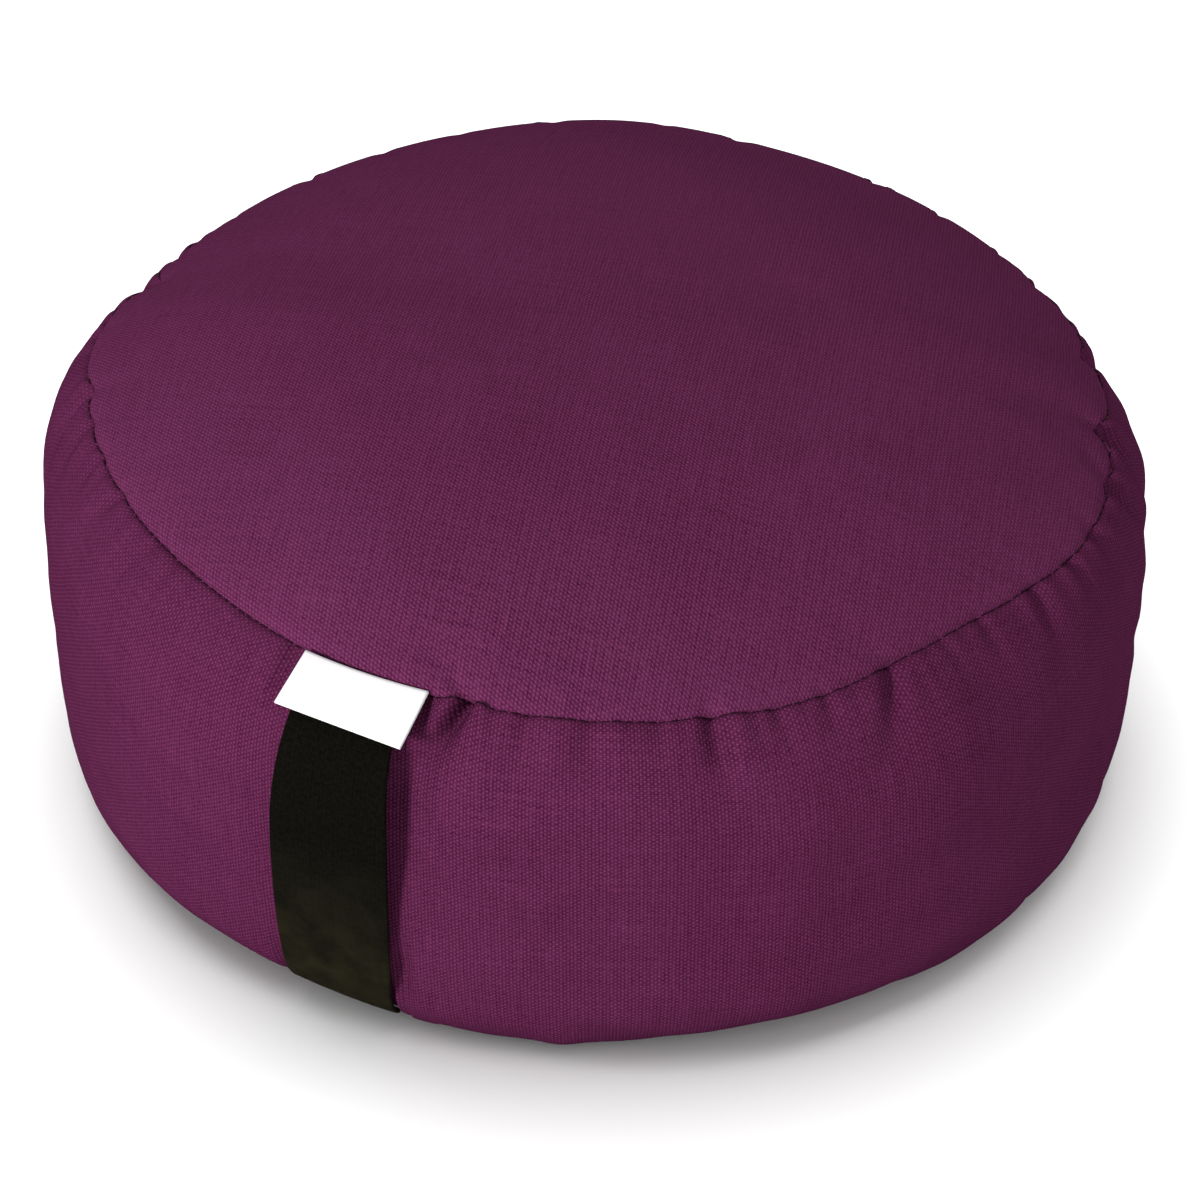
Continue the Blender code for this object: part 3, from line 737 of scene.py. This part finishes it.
# the thread's own dark colour, made darker still as painted shade of the needle holes and the
# seam's valley
THREAD_DARK = (0.0035, 0.0008, 0.0022)
THREAD_LIGHT = (0.0130, 0.0035, 0.0090)
THREAD_ROUGHNESS = 0.6
THREAD_GLOSS = 0.03
THREAD_TWIST_SCALE = 2500.0
THREAD_TWIST_DEPTH = 0.0001


def stitch_mesh():
    """One stitch, lying along X: a short rounded bar."""
    bar = bmesh.new()
    bmesh.ops.create_uvsphere(bar, u_segments=6, v_segments=5, radius=0.5)
    for vert in bar.verts:
        thick, high, along = vert.co
        from_middle = 2 * abs(along)
        along *= STITCH_LENGTH * (1 + STITCH_FULLNESS * (1 - from_middle))
        vert.co = Vector((along, thick * STITCH_THICKNESS, high * STITCH_THICKNESS))
    mesh = bpy.data.meshes.new("stitch")
    bar.to_mesh(mesh)
    bar.free()
    mesh.shade_smooth()
    return mesh


def stitched_line(name, path, material):
    """A closed row of stitches along a path, made by a node tree and turned into a plain mesh."""
    curve = bpy.data.curves.new(name, "CURVE")
    curve.dimensions = "3D"
    spline = curve.splines.new("POLY")
    spline.points.add(len(path) - 1)
    spline.points.foreach_set("co", np.hstack([path, np.ones((len(path), 1))]).ravel())
    spline.use_cyclic_u = True
    line = put_in_scene(name, curve)
    bar = put_in_scene(name + "_bar", stitch_mesh())

    tree = bpy.data.node_groups.new("sewn_line", "GeometryNodeTree")
    socket = tree.interface.new_socket
    socket("Geometry", in_out="INPUT", socket_type="NodeSocketGeometry")
    bar_socket = socket("Stitch", in_out="INPUT", socket_type="NodeSocketObject")
    pitch_socket = socket("Pitch", in_out="INPUT", socket_type="NodeSocketFloat")
    thread_socket = socket("Thread", in_out="INPUT", socket_type="NodeSocketMaterial")
    socket("Geometry", in_out="OUTPUT", socket_type="NodeSocketGeometry")
    nodes = tree.nodes
    given, made = nodes.new("NodeGroupInput"), nodes.new("NodeGroupOutput")
    points = nodes.new("GeometryNodeCurveToPoints")
    points.mode = "LENGTH"
    shape = nodes.new("GeometryNodeObjectInfo")
    place = nodes.new("GeometryNodeInstanceOnPoints")
    lean = nodes.new("FunctionNodeRandomValue")
    lean.data_type = "FLOAT_VECTOR"
    lean.inputs["Min"].default_value = [-most for most in STITCH_LEAN]
    lean.inputs["Max"].default_value = STITCH_LEAN
    lean.inputs["Seed"].default_value = STITCH_SEED
    turn = nodes.new("GeometryNodeRotateInstances")
    turn.inputs["Local Space"].default_value = True
    align = nodes.new("FunctionNodeAlignRotationToVector")
    align.axis = "X"
    real = nodes.new("GeometryNodeRealizeInstances")
    paint = nodes.new("GeometryNodeSetMaterial")
    for source, output, target, entry in (
        (given, "Geometry", points, "Curve"),
        (given, "Pitch", points, "Length"),
        (points, "Tangent", align, "Vector"),
        (given, "Stitch", shape, "Object"),
        (points, "Points", place, "Points"),
        (shape, "Geometry", place, "Instance"),
        (align, "Rotation", place, "Rotation"),
        (place, "Instances", turn, "Instances"),
        (lean, "Value", turn, "Rotation"),
        (turn, "Instances", real, "Geometry"),
        (real, "Geometry", paint, "Geometry"),
        (given, "Thread", paint, "Material"),
        (paint, "Geometry", made, "Geometry"),
    ):
        tree.links.new(source.outputs[output], target.inputs[entry])

    sewing = line.modifiers.new("sewing", "NODES")
    sewing.node_group = tree
    sewing[bar_socket.identifier] = bar
    sewing[pitch_socket.identifier] = STITCH_PITCH
    sewing[thread_socket.identifier] = material
    graph = bpy.context.evaluated_depsgraph_get()
    mesh = bpy.data.meshes.new_from_object(line.evaluated_get(graph))
    mesh.name = name
    for obj in (line, bar):
        bpy.data.objects.remove(obj)
    return put_in_scene(name, mesh)


thread = bpy.data.materials.new("dark_thread")
thread.use_nodes = True
tree = thread.node_tree
thread_shader = tree.nodes["Principled BSDF"]
thread_spot = tree.nodes.new("ShaderNodeTexCoord")
twist = cloud(tree, thread_spot.outputs["Object"], THREAD_TWIST_SCALE, 2.0, 0.6)
thread_colour = blend_colours(tree, twist, THREAD_DARK, THREAD_LIGHT)
tree.links.new(thread_colour, thread_shader.inputs["Base Color"])
thread_shader.inputs["Roughness"].default_value = THREAD_ROUGHNESS
thread_shader.inputs["Specular IOR Level"].default_value = THREAD_GLOSS
bumped(tree, thread_shader, twist, THREAD_TWIST_DEPTH)

seam_points = (band_rings[0] + band_rings[1]) / 2
upper_stitches = stitched_line("upper_seam_stitches", seam_points, thread)
foot_points = band_rings[-1] + FOOT_STITCH_INSET * (base_rings[0] - band_rings[-1])
lower_stitches = stitched_line("lower_seam_stitches", foot_points, thread)
for stitches in (upper_stitches, lower_stitches):
    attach(stitches, "root")


# ============================================================ the carrying handle
# One length of flat black cotton webbing, caught in the upper and the lower seam. It bows out
# from the band so that fingers fit behind it, and lies tight where it goes round the foot.
WEBBING_THICKNESS = 0.0016
WEBBING_TOP = 84.0           # where it goes into the seams, as a turn of the band's profile
WEBBING_FOOT = -81.0
SEAT_GAP = 0.0005
EDGE_SQUARENESS = 0.35       # the smaller, the squarer its edges are
EDGE_ROUNDING = 0.045        # part of the half width over which they round off
WEBBING_CUTS = 121
WEBBING_ROUND = 44           # points round one cut

# One row for each cut across the handle, evenly spaced from the upper seam to the lower, in mm.
Webbing = namedtuple("Webbing", "width sideways stand_off")
WEBBING = (
    Webbing(30.0, 1.0, 0.0),
    Webbing(32.0, 2.5, 5.3),
    Webbing(36.2, 1.7, 6.6),
    Webbing(36.8, -1.1, 3.2),
    Webbing(35.8, -2.3, 1.6),
    Webbing(34.4, -4.2, 0.4),
    Webbing(33.2, -5.4, 0.0),
)
WEB_RIB_PITCH = 0.00125
WEB_PICK_PITCH = 0.00095
WEB_WEFT_SHARE = 0.6
WEB_GAP_PAINTED_SHADE = (0.0004, 0.0004, 0.0003)       # dye between the threads darkened as painted shade, on them, and where it is worn
WEB_THREAD = (0.0033, 0.0030, 0.0023)
WEB_WORN = (0.0125, 0.0108, 0.0052)
WEB_WEAVE_STRENGTH = 0.20
WEB_MOTTLE_STRENGTH = 0.95
WEB_MOTTLE = (0.9, 0.7, 1.0)
WEB_TONES = (0.25, 0.95)
WORN_FROM = 60.0             # picks down the handle where the wear begins, and where it is full
WORN_TO = 140.0
MOST_WORN = 0.66
LEAST_WORN = 0.03
WEAR_PATCHES = (0.11, 0.08, 1.0)
WEAR_UNEVENNESS = (0.35, 0.65, 0.5, 1.3)
WEB_ROUGHNESS = 0.9
WEB_GLOSS = 0.01
WEB_WEAVE_DEPTH = 0.00012


def down_handle(column, share):
    """A column of WEBBING at a share of the way down the handle, in metres."""
    values = [getattr(row, column) * MM for row in WEBBING]
    last = len(values) - 1
    row = min(int(share * last), last - 1)
    before, here, after, beyond = (values[min(max(row + step, 0), last)] for step in (-1, 0, 1, 2))
    return curve_through(before, here, after, beyond, share * last - row)


def webbing_outline():
    """Places round one cut of the webbing: share of the width, and share of the thickness."""
    turn = 2 * math.pi * np.arange(WEBBING_ROUND) / WEBBING_ROUND
    across = np.sign(np.cos(turn)) * np.abs(np.cos(turn)) ** EDGE_SQUARENESS
    edge = np.clip((1 - np.abs(across)) / EDGE_ROUNDING, 0, 1)
    return across / 2, np.sign(np.sin(turn)) * np.sqrt(1 - (1 - edge) ** 2) / 2


def webbing_mesh():
    """The webbing from seam to seam, closed at both ends, with a map of its threads."""
    middle = np.array([HANDLE_ANGLE])
    across, through = webbing_outline()
    rows = []
    spots = []
    run = 0.0
    for share in np.linspace(0, 1, WEBBING_CUTS):
        turn = WEBBING_TOP + (WEBBING_FOOT - WEBBING_TOP) * share
        radius, height, _, _ = band_profile(middle, turn)
        recess = handle_recess(middle, *from_seams(middle, radius, height))
        stand = SEAT_GAP + WEBBING_THICKNESS / 2 + down_handle("stand_off", share) - recess
        width = down_handle("width", share)
        aside = across * width + down_handle("sideways", share)
        round_axis = HANDLE_ANGLE + np.degrees(np.arcsin(aside / (radius + stand)))
        radius, height, out, up = band_profile(round_axis, turn)
        level = stand + through * WEBBING_THICKNESS
        ring = points_at(round_axis, radius + level * out, height + level * up)
        if rows:
            run += float(np.linalg.norm(ring - rows[-1], axis=1).mean())
        rows.append(ring)
        picks = np.full(WEBBING_ROUND, run / WEB_PICK_PITCH)
        spots.append(np.stack([across * width / WEB_RIB_PITCH, picks], axis=-1))
    count = WEBBING_ROUND
    here = np.arange(count)
    after = (here + 1) % count
    faces = []
    threads = []
    for row in range(len(rows) - 1):
        upper, lower = row * count, (row + 1) * count
        quads = [upper + here, upper + after, lower + after, lower + here]
        faces += np.stack(quads, axis=1).tolist()
        above, below = spots[row], spots[row + 1]
        corners = [above[here], above[after], below[after], below[here]]
        threads.append(np.stack(corners, axis=1).reshape(-1, 2))
    faces.append(list(reversed(range(count))))
    threads.append(spots[0][::-1])
    faces.append([(len(rows) - 1) * count + one for one in range(count)])
    threads.append(spots[-1])
    mesh = bpy.data.meshes.new("webbing_handle")
    mesh.from_pydata(np.concatenate(rows).tolist(), [], faces)
    thread_map = mesh.uv_layers.new(name="threads")
    thread_map.data.foreach_set("uv", np.concatenate(threads).astype(np.float32).ravel())
    outwards = bmesh.new()
    outwards.from_mesh(mesh)
    bmesh.ops.recalc_face_normals(outwards, faces=outwards.faces)
    outwards.to_mesh(mesh)
    outwards.free()
    mesh.shade_smooth()
    return mesh, run


handle_mesh, webbing_length = webbing_mesh()
handle = put_in_scene("webbing_handle", handle_mesh)

webbing = bpy.data.materials.new("black_webbing")
webbing.use_nodes = True
tree = webbing.node_tree
webbing_shader = tree.nodes["Principled BSDF"]
web_threads = thread_spots(tree, "threads")
web_weave = plain_weave(tree, web_threads, WEB_WEFT_SHARE, 0.0)
web_mottle = cloud(tree, stretched(tree, web_threads, WEB_MOTTLE), 1.0, 3.0, 0.65)
web_fade = cloud(tree, stretched(tree, web_threads, WEAR_PATCHES), 1.0, 3.0, 0.6)
# the weave's height as painted shade between the threads, with the dye's mottle laid over it
web_shade_and_mottle = calc(tree, "MULTIPLY", web_weave, WEB_WEAVE_STRENGTH)
web_shade_and_mottle = calc(tree, "ADD", web_shade_and_mottle, calc(tree, "MULTIPLY", web_mottle, WEB_MOTTLE_STRENGTH))
web_shade_and_mottle = span(tree, web_shade_and_mottle, *WEB_TONES, 0.0, 1.0)
web_dark = blend_colours(tree, web_shade_and_mottle, WEB_GAP_PAINTED_SHADE, WEB_THREAD)
web_split = tree.nodes.new("ShaderNodeSeparateXYZ")
tree.links.new(web_threads, web_split.inputs[0])
web_low = span(tree, web_split.outputs["Y"], WORN_FROM, WORN_TO, 0.0, MOST_WORN)
web_uneven = span(tree, web_fade, *WEAR_UNEVENNESS)
web_worn = calc(tree, "MULTIPLY", calc(tree, "ADD", web_low, LEAST_WORN), web_uneven)
web_brown = blend_colours(tree, web_worn, web_dark, WEB_WORN)
tree.links.new(web_brown, webbing_shader.inputs["Base Color"])
webbing_shader.inputs["Roughness"].default_value = WEB_ROUGHNESS
webbing_shader.inputs["Specular IOR Level"].default_value = WEB_GLOSS
bumped(tree, webbing_shader, calc(tree, "ADD", web_weave, web_mottle), WEB_WEAVE_DEPTH)
handle_mesh.materials.append(webbing)
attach(handle, "root")
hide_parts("handle")


# ============================================================ the label
# A short length of white woven tape, folded in half and caught by its two raw ends in the upper
# seam, so that it stands out over the handle's top end. Its face is plain.
LABEL_ANGLE = 271.0
LABEL_WIDTH = 0.0382
LABEL_DROP = 0.0182
LABEL_TILT_LEFT = 15.0       # how far below level it points at each side
LABEL_TILT_RIGHT = 22.0
LABEL_LEAN = 3.5             # how far its right side lies lower, in degrees
LABEL_TAPE = 0.00034         # thickness of the tape
LABEL_FOLD = 0.00030         # half the gap between its two layers
LABEL_COLUMNS = 48
LABEL_STEPS = 22             # along each layer
FOLD_STEPS = 8
TAPE_PITCH = (0.00022, 0.00018)          # its own threads, across and along
TAPE_WEFT_SHARE = 0.8
TAPE_GAP_PAINTED_SHADE = (0.50, 0.50, 0.495)           # white between the threads darkened as painted shade, on them, and greyer near the seam as painted shade
TAPE_THREAD = (0.58, 0.58, 0.58)
TAPE_SEAM_PAINTED_SHADE = (0.40, 0.385, 0.40)
TAPE_PAINTED_SHADE_SHARE = 0.35     # part of its drop, from the seam, that is greyer with painted shade
TAPE_ROUGHNESS = 0.55
TAPE_SHEEN = 0.1
TAPE_WEAVE_DEPTH = 0.00003


def label_mesh():
    """The folded tape's middle surface: out along the upper layer, round the fold and back."""
    seam_radius, seam_height = (float(value[0]) for value in upper_seam(np.array([LABEL_ANGLE])))
    facing = math.radians(LABEL_ANGLE)
    outward = np.array([math.cos(facing), math.sin(facing), 0])
    along = np.array([-math.sin(facing), math.cos(facing), -math.tan(math.radians(LABEL_LEAN))])
    start = outward * seam_radius + np.array([0, 0, seam_height])
    reach = LABEL_DROP - LABEL_FOLD
    upper = [(share * reach, LABEL_FOLD) for share in np.linspace(0, 1, LABEL_STEPS)]
    turns = np.linspace(0, math.pi, FOLD_STEPS + 1)[1:-1]
    fold = [(reach + LABEL_FOLD * math.sin(turn), LABEL_FOLD * math.cos(turn)) for turn in turns]
    lower = [(share * reach, -LABEL_FOLD) for share in np.linspace(1, 0, LABEL_STEPS)]
    rows = []
    for forth, rise in upper + fold + lower:
        row = []
        for side in np.linspace(-0.5, 0.5, LABEL_COLUMNS + 1):
            tilt = LABEL_TILT_LEFT + (LABEL_TILT_RIGHT - LABEL_TILT_LEFT) * (side + 0.5)
            fall = math.radians(tilt)
            drop = outward * math.cos(fall) - np.array([0, 0, math.sin(fall)])
            lift = outward * math.sin(fall) + np.array([0, 0, math.cos(fall)])
            share = forth / LABEL_DROP
            bowed = outward * (side * LABEL_WIDTH) ** 2 / (2 * seam_radius) * (1 - share)
            row.append(start + along * side * LABEL_WIDTH + drop * forth + lift * rise - bowed)
        rows.append(row)
    shape = bmesh.new()
    grid = [[shape.verts.new(point) for point in row] for row in rows]
    place = shape.loops.layers.uv.new("tape")
    for row in range(len(grid) - 1):
        for column in range(LABEL_COLUMNS):
            corners = ((row, column), (row + 1, column), (row + 1, column + 1), (row, column + 1))
            face = shape.faces.new([grid[r][c] for r, c in corners])
            for loop, (r, c) in zip(face.loops, corners):
                loop[place].uv = (c / LABEL_COLUMNS * LABEL_WIDTH, r / len(grid) * 2 * LABEL_DROP)
    bmesh.ops.recalc_face_normals(shape, faces=shape.faces)
    mesh = bpy.data.meshes.new("white_label")
    shape.to_mesh(mesh)
    shape.free()
    mesh.shade_smooth()
    return mesh


label = put_in_scene("white_label", label_mesh())
tape = label.modifiers.new("tape", "SOLIDIFY")
tape.thickness = LABEL_TAPE
tape.offset = 0.0

label_white = bpy.data.materials.new("white_label")
label_white.use_nodes = True
tree = label_white.node_tree
label_shader = tree.nodes["Principled BSDF"]
tape_spots = thread_spots(tree, "tape")
tape_threads = stretched(tree, tape_spots, (1 / TAPE_PITCH[0], 1 / TAPE_PITCH[1], 1.0))
tape_weave = plain_weave(tree, tape_threads, TAPE_WEFT_SHARE, 0.0)
tape_split = tree.nodes.new("ShaderNodeSeparateXYZ")
tree.links.new(tape_spots, tape_split.inputs[0])
shaded_drop = TAPE_PAINTED_SHADE_SHARE * LABEL_DROP
# painted shade: greyest at the seam, fading out down the upper part of the drop
seam_painted_shade = span(tree, tape_split.outputs["Y"], 0.0, shaded_drop, 1.0, 0.0)
tape_white = blend_colours(tree, tape_weave, TAPE_GAP_PAINTED_SHADE, TAPE_THREAD)
tape_white = blend_colours(tree, seam_painted_shade, tape_white, TAPE_SEAM_PAINTED_SHADE)
tree.links.new(tape_white, label_shader.inputs["Base Color"])
label_shader.inputs["Roughness"].default_value = TAPE_ROUGHNESS
label_shader.inputs["Sheen Weight"].default_value = TAPE_SHEEN
bumped(tree, label_shader, tape_weave, TAPE_WEAVE_DEPTH)
label.data.materials.append(label_white)
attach(label, "root")
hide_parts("label")
